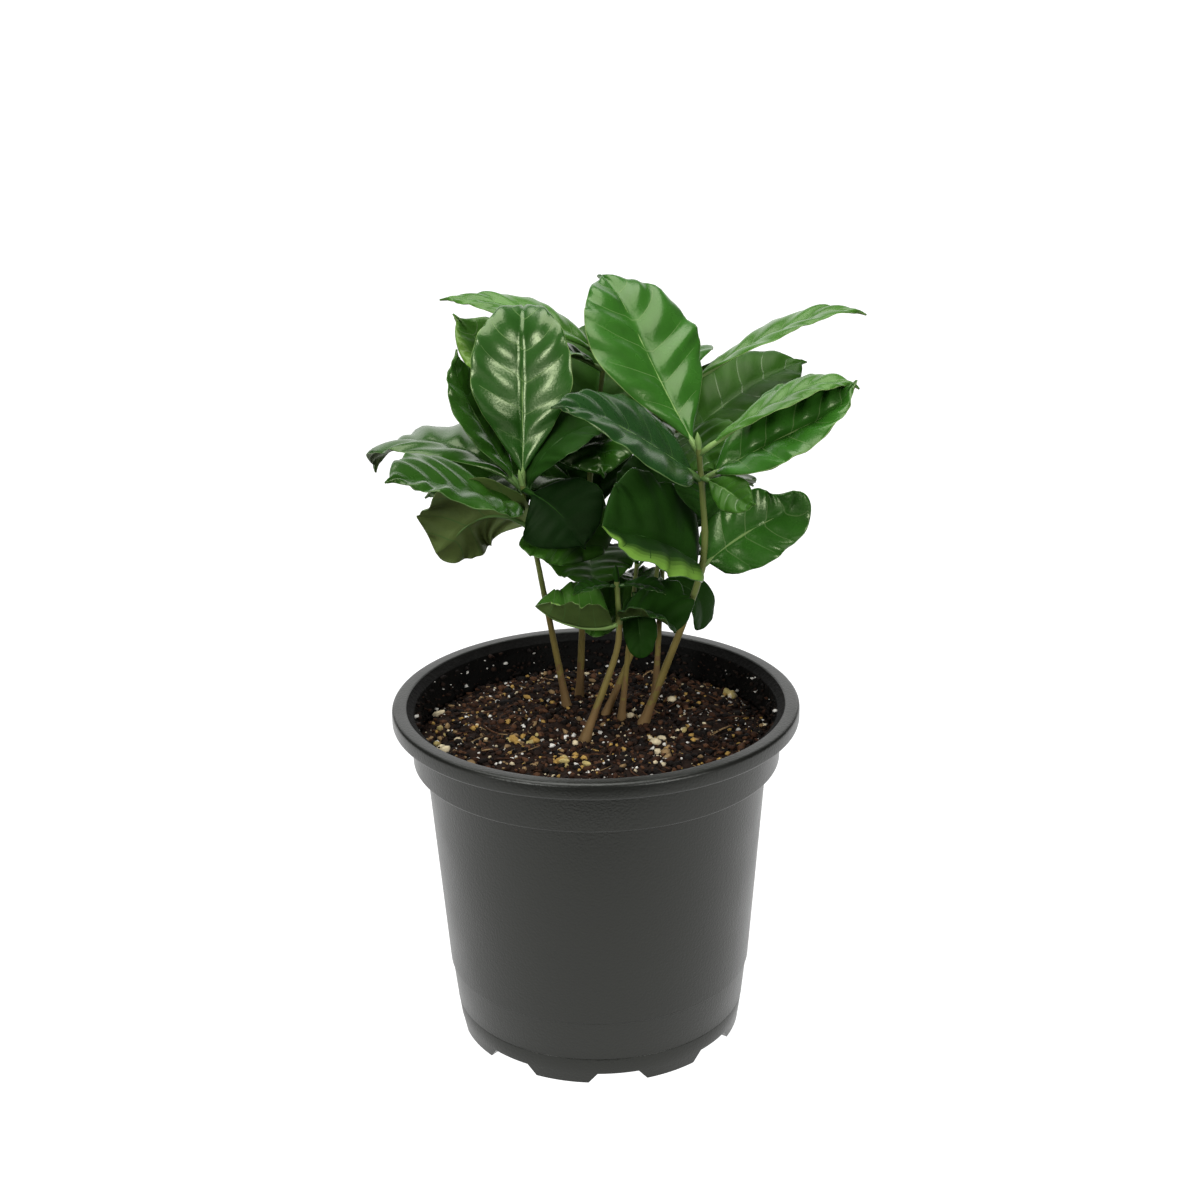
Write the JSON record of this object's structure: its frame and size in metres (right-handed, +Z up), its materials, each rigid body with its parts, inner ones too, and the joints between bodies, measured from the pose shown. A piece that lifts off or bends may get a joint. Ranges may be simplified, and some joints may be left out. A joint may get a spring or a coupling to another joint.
{
  "type": "potted coffee plant",
  "caption": "Young coffee plant in a nursery pot: a clump of slim stems with glossy drip-tipped leaves above round wavy seed leaves, in dark potting mix.",
  "frame": {"origin": "on the surface the pot stands on, under the middle of the pot's flat underside", "axes": "+Z up along the pot's axis, +X to the right of the front view, +Y away from the viewer"},
  "size_m": [0.1346, 0.1222, 0.2036],
  "materials": {
    "pot_plastic": "black satin moulded plastic",
    "potting_mix": "damp dark peat and bark with white grains",
    "stem_bark": "tan young bark turning green upwards",
    "leaf_green": "glossy dark green leaf with pale veins"
  },
  "bodies": {
    "root": {"pot": "pot_plastic", "soil": "potting_mix", "stem_right": "stem_bark", "stem_left": "stem_bark", "stem_back_left": "stem_bark", "stem_back_right": "stem_bark", "stem_front": "stem_bark", "stem_middle": "stem_bark", "stem_inner": "stem_bark", "leaves_right": "leaf_green", "leaves_left": "leaf_green", "leaves_back_left": "leaf_green", "leaves_back_right": "leaf_green", "leaves_front": "leaf_green", "leaves_middle": "leaf_green", "leaves_inner": "leaf_green"}
  },
  "joints": []
}
